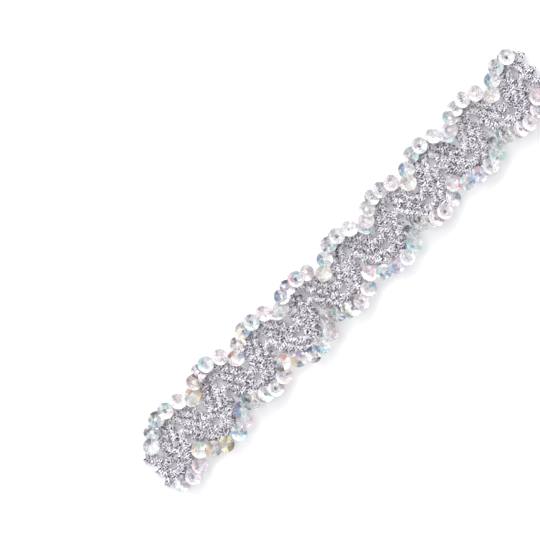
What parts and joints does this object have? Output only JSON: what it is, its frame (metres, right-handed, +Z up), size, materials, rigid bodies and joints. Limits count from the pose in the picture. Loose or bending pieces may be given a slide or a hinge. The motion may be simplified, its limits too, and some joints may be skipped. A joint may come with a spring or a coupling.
{
  "type": "sequin trim",
  "caption": "Flat sewing trim: a zigzag braid of glittering metallic cords with a scalloped string of faceted cup sequins along each edge.",
  "frame": {"origin": "on the flat underside, at mid length, under the middle cord where it crosses the trim's centre line", "axes": "+X along the trim, +Y across it towards the upper sequin string, +Z up out of the face that shows"},
  "size_m": [0.1327, 0.0207, 0.0049],
  "materials": {
    "metallic_cord": "silver-grey metallised film yarn, glittering, with fine bright and dark flecks",
    "sequin_film": "glossy silver film with rainbow patches, faceted"
  },
  "bodies": {
    "root": {"zigzag_braid": "metallic_cord", "sequin_string_upper": "sequin_film", "sequin_string_lower": "sequin_film"}
  },
  "joints": []
}
